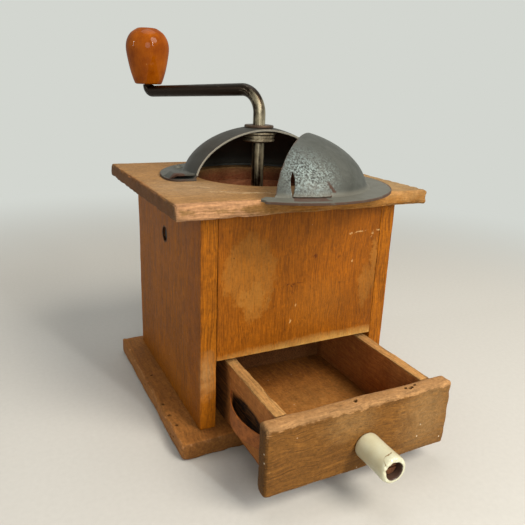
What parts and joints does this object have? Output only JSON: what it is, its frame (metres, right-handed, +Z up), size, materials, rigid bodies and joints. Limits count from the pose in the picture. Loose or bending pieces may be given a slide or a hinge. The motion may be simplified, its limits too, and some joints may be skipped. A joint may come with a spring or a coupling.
{
  "type": "manual coffee grinder",
  "caption": "Wooden box coffee mill with a split metal dome, a bent rod crank with a pear knob, burrs on a shaft and a sliding drawer with a porcelain knob.",
  "frame": {"origin": "middle of the underside of the base board, on the crank axis", "axes": "+X to the right seen from the drawer side, +Y to the back, +Z up; the drawer slides out along -Y"},
  "size_m": [0.162, 0.2733, 0.2437],
  "materials": {
    "orange_wood": "varnished, worn through in pale patches",
    "brown_wood": "old varnish, dull and scuffed",
    "pale_wood": "bare worn wood",
    "drawer_wood": "bare wood with worm holes",
    "drawer_wall_wood": "raw planed wood",
    "red_wood": "raw wood darkened by coffee",
    "dome_sheet": "aged tinned sheet, mottled",
    "crank_steel": "dark brown patina with bright rubbed streaks",
    "amber_knob": "glossy amber lacquer on turned wood",
    "porcelain": "yellowed glaze, chipped at the end",
    "rusty_steel": "rusted spring steel",
    "iron": "dull dark iron",
    "burr_iron": "bare cast iron",
    "brass": "dulled",
    "bush_bronze": "brown patina",
    "nickel": "dulled plating"
  },
  "bodies": {
    "case": {"base_plate": "brown_wood", "left_side": "brown_wood", "right_side": "brown_wood", "back_panel": "brown_wood", "front_panel": "orange_wood", "top_plate": "pale_wood", "base_screws": "iron", "top_dowels": "drawer_wood", "side_screws": "iron", "hopper_bowl": "red_wood", "bowl_screws": "iron", "fixed_dome": "dome_sheet", "dome_screws": "brass", "cover_pivot": "iron", "pivot_washer": "nickel", "dome_bush": "bush_bronze", "bush_washer": "nickel", "bush_nut": "nickel", "outer_burr": "burr_iron", "bridge": "iron", "bridge_screws": "iron"},
    "cover": {"swing_cover": "dome_sheet"},
    "adjuster": {"adjusting_nut": "brass"},
    "stud": {"thrust_stud": "iron"},
    "crank": {"crank_shaft": "crank_steel", "knob_washer": "nickel", "inner_burr": "burr_iron", "burr_pin": "nickel"},
    "grip": {"crank_knob": "amber_knob"},
    "drawer": {"drawer_front": "drawer_wood", "drawer_left_side": "drawer_wall_wood", "drawer_right_side": "drawer_wall_wood", "drawer_back": "drawer_wall_wood", "drawer_bottom": "red_wood", "drawer_knob": "porcelain", "drawer_knob_screw": "rusty_steel", "drawer_knob_nut": "rusty_steel", "drawer_spring": "rusty_steel", "spring_nails": "iron", "drawer_dowels": "drawer_wood", "drawer_nails": "iron"}
  },
  "joints": [
    {"name": "drawer_slide", "type": "slide", "parent": "case", "child": "drawer", "axis": [0, -1, 0], "range_m": [-0.058, 0.03]},
    {"name": "cover_swing", "type": "hinge", "parent": "case", "child": "cover", "pos_m": [0.05207, -0.02318, 0.1507], "axis": [0, 0, 1], "range_deg": [-42, 45]},
    {"name": "nut_turn", "type": "hinge", "parent": "case", "child": "adjuster", "pos_m": [0, 0, 0.083], "axis": [0, 0, 1], "range_deg": [-200, 200]},
    {"name": "stud_lift", "type": "slide", "parent": "case", "child": "stud", "axis": [0, 0, 1], "range_m": [-0.00055, 0.00055]},
    {"name": "crank_spin", "type": "hinge", "parent": "stud", "child": "crank", "pos_m": [0, 0, 0.19], "axis": [0, 0, 1], "continuous": true},
    {"name": "knob_spin", "type": "hinge", "parent": "crank", "child": "grip", "pos_m": [-0.04474, 0.10049, 0.226], "axis": [0, 0, 1], "continuous": true}
  ],
  "couplings": [
    {"joint": "nut_turn", "follows": "stud_lift", "rad_per_m": 6283.2}
  ]
}
